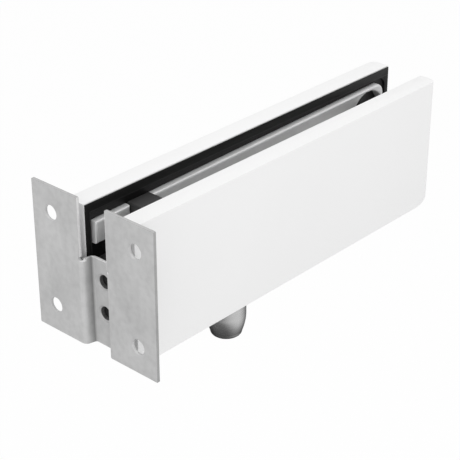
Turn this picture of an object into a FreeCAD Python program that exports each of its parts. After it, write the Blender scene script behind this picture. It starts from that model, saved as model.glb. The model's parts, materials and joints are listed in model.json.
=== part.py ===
import FreeCAD, Part
import math
import os

from FreeCAD import Vector

# Sizes in millimetres. Pieces are modelled from the covers' end by the wall (x = 0), from the
# middle of the glass slot (y = 0) and from the covers' underside (z = 0). They are moved to the
# wall fixing when they are saved: the origin is the centre of the four wall screws, on the wall.

# Outline of the fitting
fitting_length = 163.0
fitting_height = 52.0
cover_depth = 7.7
cover_wall = 1.2
cover_corner_radius = 3.2
cover_foot_radius = 3.5

# The slot between the two halves, and what the glass needs in it
glass_thickness = 10.0
gasket_thickness = 0.8
plate_proud = 1.5

# Black carriers
rim_thickness = 0.5
rim_inset = 0.4
rim_side_margin = 2.5
rim_top_margin = 3.5
recess_depth = 0.8
recess_corner_radius = 4.0
carrier_floor = 1.2
carrier_rib_height = 2.1
carrier_fit = 0.2
rib_width = 2.0
rib_columns = 6
rib_rows = 2
carrier_corner_radius = 4.3
boss_radius = 4.5
boss_margin = 2.0

# Metal clamp plates
plate_thickness = 3.5
plate_start = 3.3
plate_end_margin = 5.1
plate_top_at_wall_end = 45.0
plate_top_slope_deg = 0.75
plate_bottom = 6.0
plate_corner_radius = 4.0
plate_edge_radius = 1.0
plate_seat_clearance = 0.25
plate_lug_bottom = 36.8
plate_lug_length = 7.0
plate_hole_radius = 9.7
plate_hole_from_end = 14.7
plate_hole_z = 36.3

# Blocks between the halves
spacer_start = 19.4
spacer_length = 10.3
spacer_bottom = 24.0
spacer_top = 45.8
block_clearance = 0.3
end_block_end = 9.0
end_block_bottom = 4.0
end_block_top = 30.5
pivot_block_length = 36.0
pivot_block_bottom = 4.0
pivot_block_top = 27.5
notch_clearance = 4.0

# Pivot pin
pin_from_wall_end = 59.5
pin_radius = 7.4
pin_length = 20.6
pin_straight = 11.5
pin_end_radius = 6.0
pin_barrel_share = 0.28
pin_nose_radius = 1.6
pin_neck_radius = 7.0
pin_neck_length = 0.4
pin_spigot_radius = 5.0
pin_spigot_length = 16.0
pin_relief_clearance = 0.4
set_screw_radius = 2.5
set_screw_length = 8.0
set_screw_height = 12.0
set_screw_socket_width = 2.5
set_screw_socket_depth = 2.5

# Wall anchor, folded from one sheet
sheet_thickness = 1.0
anchor_width = 56.4
anchor_height = 54.9
anchor_bottom = 1.5
anchor_stand_off = 3.9
anchor_gap_half = 6.4
bridge_top = 34.0
bridge_inset = 0.2
bend_at_flange = 5.6
bend_at_bridge = 4.7
bend_inner_radius = 1.0
anchor_corner_radius = 0.8
anchor_relief_radius = 0.8
fixing_spacing_y = 39.2
fixing_spacing_z = 35.0
fixing_hole_radius = 2.7

# Screws that hold the anchor
anchor_screw_radius = 3.0
anchor_thread_radius = 2.5
anchor_thread_fit = 0.05
anchor_screw_z = (14.0, 26.0)
anchor_screw_recess = 1.7
anchor_head_radius = 5.0
anchor_head_height = 6.0
anchor_socket_width = 5.0
anchor_socket_depth = 3.0
anchor_hole_mouth = 0.6
collar_length = 1.8
collar_wall = 1.3
collar_clearance = 0.3
screw_clearance = 0.3

# Clamp screws, across the slot
clamp_radius = 3.0
clamp_thread_fit = 0.08
clamp_head_radius = 5.0
clamp_head_height = 2.9
clamp_socket_width = 4.6
clamp_socket_depth = 1.6
washer_radius = 5.8
washer_thickness = 0.6
nut_width = 10.0
nut_thickness = 3.0
middle_screw_x = 100.0
middle_screw_z = 20.0
spacer_screw_z = 36.0

# Small countersunk screws
block_screw_radius = 2.0
block_screw_length = 7.0
plate_screw_radius = 1.5
plate_screw_length = 3.2
countersunk_ratio = 1.8
driver_width_ratio = 1.2
driver_depth_share = 0.6
end_screw_low = 8.0
end_screw_high = 20.0
spacer_block_screw_z = 28.0
pivot_screw_offset = 12.0
pivot_screw_z = 18.0
plate_screw_from_block = 4.8
plate_screw_from_middle = 9.0
plate_screw_from_end = 32.0
plate_screw_high = 40.0
plate_screw_low = 12.0

# Spring clips under the covers
clip_thickness = 0.4
clip_span = 9.0
clip_width = 3.0
clip_notch_depth = 2.0
clip_from_wall_end = 22.0
clip_from_free_end = 28.0

# How far a cutting shape passes the face it cuts, and how near counts as touching
cut_margin = 1.0
touching = 0.001

# Sizes that follow from the ones above
plate_face = glass_thickness / 2 + gasket_thickness
carrier_face = plate_face + plate_proud
rim_back = carrier_face + rim_thickness
recess_floor = carrier_face + recess_depth
plate_back = plate_face + plate_thickness
floor_back = plate_back + carrier_floor
carrier_back = floor_back + carrier_rib_height
cover_back = rim_back + cover_depth
spacer_x = spacer_start + spacer_length / 2
spacer_end = spacer_start + spacer_length
pin_x = pin_from_wall_end
fixing_height = anchor_bottom + anchor_height / 2
plate_hole_x = fitting_length - plate_hole_from_end
plate_end = fitting_length - plate_end_margin

clamp_places = (
    (spacer_x, spacer_screw_z),
    (middle_screw_x, middle_screw_z),
    (plate_hole_x, plate_hole_z),
)
end_block_x = (rim_side_margin + end_block_end) / 2
block_screw_places = (
    (end_block_x, end_screw_low),
    (end_block_x, end_screw_high),
    (spacer_x, spacer_block_screw_z),
    (pin_x - pivot_screw_offset, pivot_screw_z),
    (pin_x + pivot_screw_offset, pivot_screw_z),
)
plate_screw_places = (
    (spacer_end + plate_screw_from_block, spacer_screw_z),
    (middle_screw_x - plate_screw_from_middle, plate_screw_high),
    (middle_screw_x - plate_screw_from_middle, plate_screw_low),
    (fitting_length - plate_screw_from_end, plate_screw_low),
)
clip_places = (
    clip_from_wall_end,
    fitting_length / 2,
    fitting_length - clip_from_free_end,
)


def box(x_low, x_high, y_low, y_high, z_low, z_high):
    corner = Vector(x_low, y_low, z_low)
    return Part.makeBox(x_high - x_low, y_high - y_low, z_high - z_low, corner)


def rod_along_y(radius, x, z, y_low, y_high):
    return Part.makeCylinder(radius, y_high - y_low, Vector(x, y_low, z), Vector(0, 1, 0))


def rod_along_x(radius, y, z, x_low, x_high):
    return Part.makeCylinder(radius, x_high - x_low, Vector(x_low, y, z), Vector(1, 0, 0))


def mirrored(shape):
    return shape.mirror(Vector(0, 0, 0), Vector(0, 1, 0))


def hexagon_bar(width, start, direction, length):
    reach = width / math.sqrt(3)
    corners = []
    for step in range(7):
        angle = math.radians(60 * step)
        corners.append(Vector(reach * math.cos(angle), reach * math.sin(angle), 0))
    bar = Part.Face(Part.makePolygon(corners)).extrude(Vector(0, 0, length))
    bar.Placement = FreeCAD.Placement(start, FreeCAD.Rotation(Vector(0, 0, 1), direction))
    return bar


def hexagon_along_y(width, x, z, y_low, y_high):
    return hexagon_bar(width, Vector(x, y_low, z), Vector(0, 1, 0), y_high - y_low)


def hexagon_along_x(width, y, z, x_low, x_high):
    return hexagon_bar(width, Vector(x_low, y, z), Vector(1, 0, 0), x_high - x_low)


def edges_along(shape, direction, test):
    chosen = []
    for edge in shape.Edges:
        if edge.Curve.TypeId != "Part::GeomLine":
            continue
        start = edge.Vertexes[0].Point
        along = (edge.Vertexes[-1].Point - start).normalize()
        if abs(along.dot(direction)) > 0.999 and test(edge.CenterOfMass):
            chosen.append(edge)
    return chosen


# The free end is rounded twice: its upright outer edge, and its lower corner seen from the side.
def rounded_block(inset, y_low, y_high, corner_radius, foot_radius):
    block = box(
        inset, fitting_length - inset, y_low, y_high, inset, fitting_height - inset
    )
    middle = fitting_length / 2
    outer_edge = edges_along(
        block, Vector(0, 0, 1), lambda c: c.x > middle and c.y > y_high - touching
    )
    foot_edge = edges_along(
        block, Vector(0, 1, 0), lambda c: c.x > middle and c.z < fitting_height / 2
    )
    from_above = block.makeFillet(corner_radius, outer_edge)
    from_the_side = block.makeFillet(foot_radius, foot_edge)
    return from_above.common(from_the_side)


def cover_shape():
    outside = rounded_block(0, rim_back, cover_back, cover_corner_radius, cover_foot_radius)
    inside = rounded_block(
        cover_wall, rim_back, cover_back - cover_wall,
        cover_corner_radius - cover_wall, cover_foot_radius - cover_wall,
    )
    return outside.cut(inside)


def plate_outline():
    rise = (plate_end - plate_start) * math.tan(math.radians(plate_top_slope_deg))
    top_end = plate_top_at_wall_end + rise
    lug_end = plate_start + plate_lug_length
    window_low = pin_x - pivot_block_length / 2 - notch_clearance
    window_high = pin_x + pivot_block_length / 2 + notch_clearance
    window_top = pivot_block_top + notch_clearance / 2
    points = (
        (plate_start, plate_lug_bottom),
        (plate_start, plate_top_at_wall_end),
        (plate_end, top_end),
        (plate_end, plate_bottom),
        (window_high, plate_bottom),
        (window_high, window_top),
        (window_low, window_top),
        (window_low, plate_bottom),
        (lug_end, plate_bottom),
        (lug_end, plate_lug_bottom),
        (plate_start, plate_lug_bottom),
    )
    return Part.makePolygon([Vector(x, plate_face, z) for x, z in points])


def plate_blank(grow=0.0):
    outline = plate_outline()
    face = Part.Face(outline)
    if grow:
        face = face.makeOffset2D(grow, join=2)
    blank = face.extrude(Vector(0, plate_thickness, 0))
    across = Vector(0, 1, 0)
    ends = edges_along(blank, across, lambda c: c.x > plate_end - cut_margin)
    if ends:
        blank = blank.makeFillet(plate_corner_radius, ends)
    slot_gap = block_clearance - grow
    slot = box(
        spacer_start - slot_gap, spacer_end + slot_gap,
        plate_face - cut_margin, plate_back + cut_margin,
        spacer_bottom - slot_gap, fitting_height,
    )
    return blank.cut(slot)


def plate_shape():
    plate = plate_blank()
    front_edges = []
    for edge in plate.Edges:
        box_of_edge = edge.BoundBox
        if box_of_edge.YMax < plate_face + touching:
            front_edges.append(edge)
    plate = plate.makeFillet(plate_edge_radius, front_edges)
    front = plate_face - cut_margin
    back = plate_back + cut_margin
    plate = plate.cut(rod_along_y(plate_hole_radius, plate_hole_x, plate_hole_z, front, back))
    hole_radius = clamp_radius + screw_clearance
    plate = plate.cut(rod_along_y(hole_radius, middle_screw_x, middle_screw_z, front, back))
    for x, z in plate_screw_places:
        depth = floor_back - plate_screw_length
        plate = plate.cut(rod_along_y(plate_screw_radius, x, z, depth, back))
    return plate


def recess_shape():
    recess = box(
        rim_side_margin, fitting_length - rim_side_margin,
        carrier_face - cut_margin, recess_floor,
        rim_top_margin, fitting_height - rim_top_margin,
    )
    across = Vector(0, 1, 0)
    corners = edges_along(recess, across, lambda c: c.x > fitting_length / 2)
    return recess.makeFillet(recess_corner_radius, corners)


def rib_pockets():
    inset = cover_wall + carrier_fit + rib_width
    length = fitting_length - 2 * inset
    height = fitting_height - 2 * inset
    pitch = (length + rib_width) / rib_columns
    row_height = (height + rib_width) / rib_rows - rib_width
    pockets = []
    for column in range(rib_columns):
        x_low = inset + column * pitch
        for row in range(rib_rows):
            z_low = inset + row * (row_height + rib_width)
            pockets.append(
                box(x_low, x_low + pitch - rib_width, floor_back, carrier_back + cut_margin,
                    z_low, z_low + row_height)
            )
    return pockets


def carrier_bosses(reach, places, radius):
    return [rod_along_y(radius, x, z, plate_back, reach) for x, z in places]


def clip_notches():
    inset = cover_wall + carrier_fit
    low = inset + clip_notch_depth
    high = fitting_height - inset - clip_notch_depth
    half = clip_span / 2 + block_clearance
    y_low = carrier_back - clip_width - block_clearance
    y_high = carrier_back + cut_margin
    notches = []
    for x in clip_places:
        notches.append(box(x - half, x + half, y_low, y_high, 0, low))
        notches.append(box(x - half, x + half, y_low, y_high, high, fitting_height))
    return notches


def carrier_shape(is_rear):
    inset = cover_wall + carrier_fit
    rim = box(
        rim_inset, fitting_length - rim_inset, carrier_face, rim_back,
        rim_inset, fitting_height - rim_inset,
    )
    foot = edges_along(
        rim, Vector(0, 1, 0), lambda c: c.x > fitting_length / 2 and c.z < fitting_height / 2
    )
    rim = rim.makeFillet(cover_foot_radius - rim_inset, foot)
    body = rounded_block(
        inset, carrier_face, carrier_back, carrier_corner_radius, cover_foot_radius - cover_wall
    )
    carrier = rim.fuse(body)
    carrier = carrier.cut(rib_pockets())
    bosses = carrier_bosses(carrier_back, plate_screw_places, boss_radius)
    bosses += carrier_bosses(floor_back, clamp_places, washer_radius + boss_margin)
    carrier = carrier.fuse(bosses)
    carrier = carrier.cut(recess_shape())
    carrier = carrier.cut(plate_blank(plate_seat_clearance))
    cuts = clip_notches()
    relief = pin_radius + pin_relief_clearance
    cuts.append(
        Part.makeCylinder(relief, pivot_block_bottom + cut_margin, Vector(pin_x, 0, -cut_margin))
    )
    for x, z in clamp_places:
        cuts.append(rod_along_y(clamp_radius + screw_clearance, x, z, 0, cover_back))
        seat = washer_radius + screw_clearance
        if is_rear:
            cuts.append(
                hexagon_along_y(nut_width + screw_clearance, x, z, floor_back, cover_back)
            )
        else:
            cuts.append(rod_along_y(seat, x, z, floor_back, cover_back))
    for x, z in plate_screw_places:
        cuts.append(countersunk_hole(plate_screw_radius, x, z))
    if is_rear:
        for x, z in block_screw_places:
            cuts.append(countersunk_hole(block_screw_radius, x, z))
    return carrier.cut(cuts).removeSplitter()


def countersunk_hole(radius, x, z):
    head = radius * countersunk_ratio
    depth = head - radius
    hole = rod_along_y(radius, x, z, plate_face, cover_back)
    cone = Part.makeCone(
        radius, head, depth, Vector(x, floor_back - depth, z), Vector(0, 1, 0)
    )
    entry = rod_along_y(head, x, z, floor_back, cover_back)
    return hole.fuse(cone).fuse(entry)


def countersunk_screw(radius, length, x, z):
    head = radius * countersunk_ratio
    depth = head - radius
    shank = rod_along_y(radius, x, z, floor_back - length, floor_back - depth)
    cone = Part.makeCone(
        radius, head, depth, Vector(x, floor_back - depth, z), Vector(0, 1, 0)
    )
    socket_floor = floor_back - depth * driver_depth_share
    socket = hexagon_along_y(
        radius * driver_width_ratio, x, z, socket_floor, floor_back + cut_margin
    )
    return shank.fuse(cone).cut(socket)


def spacer_block_shape():
    block = box(
        spacer_start, spacer_end,
        -recess_floor + block_clearance, recess_floor,
        spacer_bottom, spacer_top,
    )
    x, z = clamp_places[0]
    block = block.cut(rod_along_y(clamp_radius + screw_clearance, x, z, -cover_back, cover_back))
    x, z = block_screw_places[2]
    return block.cut(block_screw_hole(x, z))


def block_screw_hole(x, z):
    tip = floor_back - block_screw_length
    return rod_along_y(block_screw_radius, x, z, tip, recess_floor + cut_margin)


def end_block_shape():
    front = -recess_floor + block_clearance
    body = box(
        rim_side_margin + block_clearance, end_block_end, front, recess_floor,
        end_block_bottom, end_block_top,
    )
    nose_side = carrier_face - block_clearance
    nose_start = bridge_inset + sheet_thickness
    nose = box(
        nose_start, end_block_end, -nose_side, nose_side, end_block_bottom, end_block_top
    )
    block = body.fuse(nose).removeSplitter()
    counterbore = anchor_thread_radius + collar_wall + collar_clearance
    for z in anchor_screw_z:
        hole_radius = anchor_screw_radius + screw_clearance
        hole = rod_along_x(hole_radius, 0, z, 0, end_block_end + cut_margin)
        room = rod_along_x(counterbore, 0, z, 0, nose_start + collar_length + collar_clearance)
        block = block.cut(hole).cut(room)
    for x, z in block_screw_places[:2]:
        block = block.cut(block_screw_hole(x, z))
    return block


def pivot_block_shape():
    half = pivot_block_length / 2
    block = box(
        pin_x - half, pin_x + half, -recess_floor + block_clearance, recess_floor,
        pivot_block_bottom, pivot_block_top,
    )
    bore = Part.makeCylinder(
        pin_spigot_radius + anchor_thread_fit, pin_spigot_length + pin_relief_clearance,
        Vector(pin_x, 0, pivot_block_bottom),
    )
    screw_hole = rod_along_x(
        set_screw_radius, 0, set_screw_height, pin_x + pin_spigot_radius,
        pin_x + half + cut_margin,
    )
    block = block.cut(bore).cut(screw_hole)
    for x, z in block_screw_places[3:]:
        block = block.cut(block_screw_hole(x, z))
    return block


def pivot_pin_shape():
    shoulder = pivot_block_bottom
    straight_start = -pin_neck_length
    straight_end = straight_start - pin_straight
    tip = -pin_length
    nose = pin_nose_radius
    start = Vector(0, 0, shoulder + pin_spigot_length)
    outline = [
        start,
        Vector(pin_spigot_radius, 0, shoulder + pin_spigot_length),
        Vector(pin_spigot_radius, 0, shoulder),
        Vector(pin_neck_radius, 0, shoulder),
        Vector(pin_neck_radius, 0, straight_start),
        Vector(pin_radius, 0, straight_start),
        Vector(pin_radius, 0, straight_end),
    ]
    edges = [Part.makeLine(a, b) for a, b in zip(outline, outline[1:])]
    barrel_end = Vector(pin_end_radius, 0, tip + nose)
    barrel_middle = Vector(
        pin_radius - (pin_radius - pin_end_radius) * pin_barrel_share, 0,
        (straight_end + tip + nose) / 2,
    )
    edges.append(Part.Arc(outline[-1], barrel_middle, barrel_end).toShape())
    turn = math.sqrt(0.5)
    nose_middle = Vector(
        pin_end_radius - nose + nose * turn, 0, tip + nose - nose * turn
    )
    nose_end = Vector(pin_end_radius - nose, 0, tip)
    edges.append(Part.Arc(barrel_end, nose_middle, nose_end).toShape())
    foot = Vector(0, 0, tip)
    edges.append(Part.makeLine(nose_end, foot))
    edges.append(Part.makeLine(foot, start))
    face = Part.Face(Part.Wire(edges))
    pin = face.revolve(Vector(0, 0, 0), Vector(0, 0, 1), 360)
    pin.translate(Vector(pin_x, 0, 0))
    return pin


def set_screw_shape():
    start = pin_x + pin_spigot_radius
    end = start + set_screw_length
    screw = rod_along_x(set_screw_radius, 0, set_screw_height, start, end)
    socket = hexagon_along_x(
        set_screw_socket_width, 0, set_screw_height, end - set_screw_socket_depth, end + cut_margin
    )
    return screw.cut(socket)


def anchor_section():
    back = sheet_thickness
    depth = anchor_stand_off + bridge_inset
    lean = math.atan2(bend_at_flange - bend_at_bridge, depth)
    shift = sheet_thickness * math.tan((math.pi / 2 - lean) / 2)
    half = anchor_width / 2
    front_x = -anchor_stand_off
    side = (
        (half, front_x),
        (bend_at_flange, front_x),
        (bend_at_bridge, bridge_inset),
    )
    other = (
        (bend_at_bridge + shift, bridge_inset + back),
        (bend_at_flange + shift, front_x + back),
        (half, front_x + back),
    )
    points = [Vector(x, y, 0) for y, x in side]
    points += [Vector(x, -y, 0) for y, x in reversed(side)]
    points += [Vector(x, -y, 0) for y, x in reversed(other)]
    points += [Vector(x, y, 0) for y, x in other]
    points.append(points[0])
    return Part.Face(Part.makePolygon(points))


def wall_anchor_shape():
    low = anchor_section()
    low.translate(Vector(0, 0, anchor_bottom))
    hat = low.extrude(Vector(0, 0, bridge_top - anchor_bottom))
    up = Vector(0, 0, 1)
    outer = bend_inner_radius + sheet_thickness
    depth = (bridge_inset - anchor_stand_off) / 2
    half_sheet = sheet_thickness / 2
    flange_middle = fixing_spacing_y / 2

    def is_outer(c):
        near_flange = c.x < depth and abs(c.y) < bend_at_flange + half_sheet
        near_bridge = c.x > depth and bend_at_bridge + half_sheet < abs(c.y) < flange_middle
        return near_flange or near_bridge

    def is_inner(c):
        near_flange = c.x < depth and bend_at_flange + half_sheet < abs(c.y) < flange_middle
        near_bridge = c.x > depth and abs(c.y) < bend_at_bridge + half_sheet
        return near_flange or near_bridge

    hat = hat.makeFillet(outer, edges_along(hat, up, is_outer))
    hat = hat.makeFillet(bend_inner_radius, edges_along(hat, up, is_inner))
    top = anchor_bottom + anchor_height
    half = anchor_width / 2
    front_x = -anchor_stand_off
    back_x = front_x + sheet_thickness
    anchor = hat
    for side in (-1, 1):
        y_a = side * anchor_gap_half
        y_b = side * half
        ear = box(
            front_x, back_x, min(y_a, y_b), max(y_a, y_b), bridge_top - half_sheet, top
        )
        anchor = anchor.fuse(ear)
    for side in (-1, 1):
        anchor = anchor.cut(
            rod_along_x(
                anchor_relief_radius, side * anchor_gap_half, bridge_top,
                front_x - cut_margin, back_x + half_sheet,
            )
        )
    anchor = anchor.removeSplitter()
    ends = edges_along(
        anchor, Vector(1, 0, 0),
        lambda c: c.z > top - touching
        or (c.z < anchor_bottom + touching and abs(c.y) > half - touching),
    )
    anchor = anchor.makeFillet(anchor_corner_radius, ends)
    return finish_anchor_holes(anchor)


def finish_anchor_holes(anchor):
    front_x = -anchor_stand_off
    bridge_back = bridge_inset + sheet_thickness
    for y in (-fixing_spacing_y / 2, fixing_spacing_y / 2):
        for z in (fixing_height - fixing_spacing_z / 2, fixing_height + fixing_spacing_z / 2):
            anchor = anchor.cut(
                rod_along_x(
                    fixing_hole_radius, y, z,
                    front_x - cut_margin, front_x + sheet_thickness + cut_margin,
                )
            )
    for z in anchor_screw_z:
        collar = rod_along_x(
            anchor_thread_radius + collar_wall, 0, z,
            bridge_back - sheet_thickness / 2, bridge_back + collar_length,
        )
        bore = rod_along_x(
            anchor_thread_radius, 0, z,
            bridge_inset - cut_margin, bridge_back + collar_length + cut_margin,
        )
        mouth = Part.makeCone(
            anchor_thread_radius + anchor_hole_mouth, anchor_thread_radius, anchor_hole_mouth,
            Vector(bridge_inset, 0, z), Vector(1, 0, 0),
        )
        anchor = anchor.fuse(collar).cut(bore).cut(mouth)
    return anchor.removeSplitter()


def anchor_screws_shape():
    tip = bridge_inset + anchor_screw_recess
    step = bridge_inset + sheet_thickness + collar_length + collar_clearance
    head_end = end_block_end + anchor_head_height
    screws = []
    for z in anchor_screw_z:
        thread = rod_along_x(anchor_thread_radius - anchor_thread_fit, 0, z, tip, step)
        shank = rod_along_x(anchor_screw_radius, 0, z, step, end_block_end)
        head = rod_along_x(anchor_head_radius, 0, z, end_block_end, head_end)
        socket = hexagon_along_x(
            anchor_socket_width, 0, z, head_end - anchor_socket_depth, head_end + cut_margin
        )
        screws.append(thread.fuse(shank).fuse(head).cut(socket))
    return Part.makeCompound(screws)


def clamp_screws_shape():
    seat = -floor_back - washer_thickness
    top = seat - clamp_head_height
    tip = floor_back + nut_thickness
    screws = []
    for x, z in clamp_places:
        head = rod_along_y(clamp_head_radius, x, z, top, seat)
        shank = rod_along_y(clamp_radius, x, z, seat, tip)
        socket = hexagon_along_y(
            clamp_socket_width, x, z, top - cut_margin, top + clamp_socket_depth
        )
        screws.append(head.fuse(shank).cut(socket))
    return Part.makeCompound(screws)


def clamp_washers_shape():
    washers = []
    for x, z in clamp_places:
        disc = rod_along_y(washer_radius, x, z, -floor_back - washer_thickness, -floor_back)
        hole = rod_along_y(clamp_radius + screw_clearance, x, z, -cover_back, 0)
        washers.append(disc.cut(hole))
    return Part.makeCompound(washers)


def clamp_nuts_shape():
    nuts = []
    for x, z in clamp_places:
        nut = hexagon_along_y(nut_width, x, z, floor_back, floor_back + nut_thickness)
        nuts.append(nut.cut(rod_along_y(clamp_radius + clamp_thread_fit, x, z, 0, cover_back)))
    return Part.makeCompound(nuts)


def block_screws_shape():
    screws = []
    for x, z in block_screw_places:
        screws.append(countersunk_screw(block_screw_radius, block_screw_length, x, z))
    return Part.makeCompound(screws)


def plate_screws_shape():
    screws = []
    for x, z in plate_screw_places:
        screws.append(countersunk_screw(plate_screw_radius, plate_screw_length, x, z))
    return Part.makeCompound(screws)


def clip_shape(x, z_floor, up):
    rise = clip_notch_depth + carrier_fit - block_clearance
    half = clip_span / 2
    radius = (half * half + rise * rise) / (2 * rise)
    low_y = carrier_back - clip_width
    centre_z = z_floor + up * (rise - radius)
    ring = rod_along_y(radius, x, centre_z, low_y, carrier_back)
    room = rod_along_y(
        radius - clip_thickness, x, centre_z, low_y - cut_margin, carrier_back + cut_margin
    )
    ring = ring.cut(room)
    z_tip = z_floor + up * rise * 2
    keep = box(
        x - half, x + half, low_y, carrier_back, min(z_floor, z_tip), max(z_floor, z_tip)
    )
    return ring.common(keep)


def cover_clips_shape():
    inset = cover_wall + carrier_fit + clip_notch_depth
    clips = []
    for x in clip_places:
        clips.append(clip_shape(x, inset, -1))
        clips.append(clip_shape(x, fitting_height - inset, 1))
    return Part.makeCompound(clips)


def save(name, shape):
    placed = shape.copy()
    placed.translate(Vector(anchor_stand_off, 0, -fixing_height))
    placed.exportStep("parts/" + name + ".step")


def main():
    os.makedirs("parts", exist_ok=True)
    cover = cover_shape()
    save("rear_cover", cover)
    save("front_cover", mirrored(cover))
    save("rear_carrier", carrier_shape(True))
    save("front_carrier", mirrored(carrier_shape(False)))
    plate = plate_shape()
    save("rear_clamp_plate", plate)
    save("front_clamp_plate", mirrored(plate))
    plate_screws = plate_screws_shape()
    save("rear_plate_screws", plate_screws)
    save("front_plate_screws", mirrored(plate_screws))
    clips = cover_clips_shape()
    save("rear_cover_clips", clips)
    save("front_cover_clips", mirrored(clips))
    save("spacer_block", spacer_block_shape())
    save("end_block", end_block_shape())
    save("pivot_block", pivot_block_shape())
    save("pivot_pin", pivot_pin_shape())
    save("pin_set_screw", set_screw_shape())
    save("wall_anchor", wall_anchor_shape())
    save("anchor_screws", anchor_screws_shape())
    save("clamp_screws", clamp_screws_shape())
    save("clamp_washers", clamp_washers_shape())
    save("clamp_nuts", clamp_nuts_shape())
    save("block_screws", block_screws_shape())


main()
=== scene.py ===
import json
import math

import bmesh
import bpy
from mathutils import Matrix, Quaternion, Vector


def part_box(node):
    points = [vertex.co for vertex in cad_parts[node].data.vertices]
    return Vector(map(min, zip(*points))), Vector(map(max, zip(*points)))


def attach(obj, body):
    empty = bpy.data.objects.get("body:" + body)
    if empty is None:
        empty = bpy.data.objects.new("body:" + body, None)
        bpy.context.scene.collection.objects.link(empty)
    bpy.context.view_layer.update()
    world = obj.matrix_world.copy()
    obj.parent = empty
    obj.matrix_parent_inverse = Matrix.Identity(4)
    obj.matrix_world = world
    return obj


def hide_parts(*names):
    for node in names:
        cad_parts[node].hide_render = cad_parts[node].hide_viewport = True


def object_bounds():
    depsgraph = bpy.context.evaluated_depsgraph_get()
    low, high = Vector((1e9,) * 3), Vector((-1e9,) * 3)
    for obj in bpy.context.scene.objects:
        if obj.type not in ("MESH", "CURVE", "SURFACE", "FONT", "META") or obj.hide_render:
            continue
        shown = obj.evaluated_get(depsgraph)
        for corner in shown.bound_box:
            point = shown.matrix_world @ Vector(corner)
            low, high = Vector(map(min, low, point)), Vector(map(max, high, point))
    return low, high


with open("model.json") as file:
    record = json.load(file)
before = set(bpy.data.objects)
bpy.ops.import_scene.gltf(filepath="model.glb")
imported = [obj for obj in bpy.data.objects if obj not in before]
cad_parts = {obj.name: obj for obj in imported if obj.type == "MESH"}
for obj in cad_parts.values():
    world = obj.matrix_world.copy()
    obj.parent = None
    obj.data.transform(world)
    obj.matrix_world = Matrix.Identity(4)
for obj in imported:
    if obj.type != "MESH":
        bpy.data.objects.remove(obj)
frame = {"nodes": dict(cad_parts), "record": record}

mm = 0.001
photoPixels = 460
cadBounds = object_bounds()

# Places below are in mm from the wall end of the covers, the middle of the glass slot and
# the covers' underside, as on a drawing of the fitting.
coverLow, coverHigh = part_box("rear_cover")
wallEnd = coverLow.x
underside = coverLow.z
fittingLength = (coverHigh.x - coverLow.x) / mm
fittingHeight = (coverHigh.z - coverLow.z) / mm


def at(x, y, z):
    return Vector((wallEnd + x * mm, y * mm, underside + z * mm))


print("stage: frame loaded, fitting", round(fittingLength, 1), "x", round(fittingHeight, 1), "mm")


# camera

camera = {
    "azimuth": -47.70,                    # degrees, from the front towards the wall side
    "elevation": 28.16,
    "place": (-269.05, -304.4, 234.4),    # mm from the middle of the wall screws
    "focalPixels": 1441.0,
    "sensor": 36.0,
    "reach": (0.01, 20),                  # m, nearest and farthest that it sees
}


def makeCamera(look):
    data = bpy.data.cameras.new("photoCamera")
    data.sensor_width = look["sensor"]
    data.lens = look["focalPixels"] * look["sensor"] / photoPixels
    data.clip_start, data.clip_end = look["reach"]
    cam = bpy.data.objects.new("photoCamera", data)
    bpy.context.scene.collection.objects.link(cam)
    cam.location = [v * mm for v in look["place"]]
    cam.rotation_euler = (
        math.radians(90 - look["elevation"]), 0, math.radians(look["azimuth"])
    )
    bpy.context.scene.camera = cam


# shader helpers

def startMaterial(name, look):
    material = bpy.data.materials.new(name)
    material.use_nodes = True
    nodes = material.node_tree.nodes
    coat = nodes["Principled BSDF"]
    coat.inputs["Metallic"].default_value = look["metallic"]
    coat.inputs["Specular IOR Level"].default_value = look["specular"]
    return material, nodes, material.node_tree.links, coat


def noiseOn(nodes, links, scale, detail, stretch=(1, 1, 1)):
    coord = nodes.new("ShaderNodeTexCoord")
    place = nodes.new("ShaderNodeMapping")
    place.inputs["Scale"].default_value = stretch
    noise = nodes.new("ShaderNodeTexNoise")
    noise.inputs["Scale"].default_value = scale
    noise.inputs["Detail"].default_value = detail
    links.new(coord.outputs["Object"], place.inputs["Vector"])
    links.new(place.outputs["Vector"], noise.inputs["Vector"])
    return noise.outputs["Fac"]


# carries a value from one range over to another; noise lies mostly between 0.3 and 0.7
def spread(nodes, links, value, low, high, fromLow=0.3, fromHigh=0.7, kind="LINEAR"):
    shade = nodes.new("ShaderNodeMapRange")
    shade.interpolation_type = kind
    shade.inputs["From Min"].default_value = fromLow
    shade.inputs["From Max"].default_value = fromHigh
    shade.inputs["To Min"].default_value = low
    shade.inputs["To Max"].default_value = high
    links.new(value, shade.inputs["Value"])
    return shade.outputs["Result"]


def combine(nodes, links, operation, first, second):
    step = nodes.new("ShaderNodeMath")
    step.operation = operation
    for socket, value in zip(step.inputs, (first, second)):
        if isinstance(value, (int, float)):
            socket.default_value = value
        else:
            links.new(value, socket)
    return step.outputs["Value"]


# the tone where the mask is 0, and the tone times the gain where it is 1
def gainWhere(nodes, links, tone, mask, gain):
    return combine(nodes, links, "MULTIPLY", tone, spread(nodes, links, mask, 1, gain, 0, 1))


def placeOf(nodes, links):
    coord = nodes.new("ShaderNodeTexCoord")
    place = nodes.new("ShaderNodeSeparateXYZ")
    links.new(coord.outputs["Object"], place.inputs["Vector"])
    return place.outputs


# 1 inside a band about a place, 0 outside it
def band(nodes, links, value, middle, width):
    off = combine(nodes, links, "SUBTRACT", value, middle)
    apart = combine(nodes, links, "ABSOLUTE", off, 0)
    return combine(nodes, links, "LESS_THAN", apart, width / 2)


# 1 for the named kinds of ray, 0 for the others
def rayShare(nodes, links, names):
    path = nodes.new("ShaderNodeLightPath")
    total = path.outputs[names[0]]
    for name in names[1:]:
        total = combine(nodes, links, "MAXIMUM", total, path.outputs[name])
    return total


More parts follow.
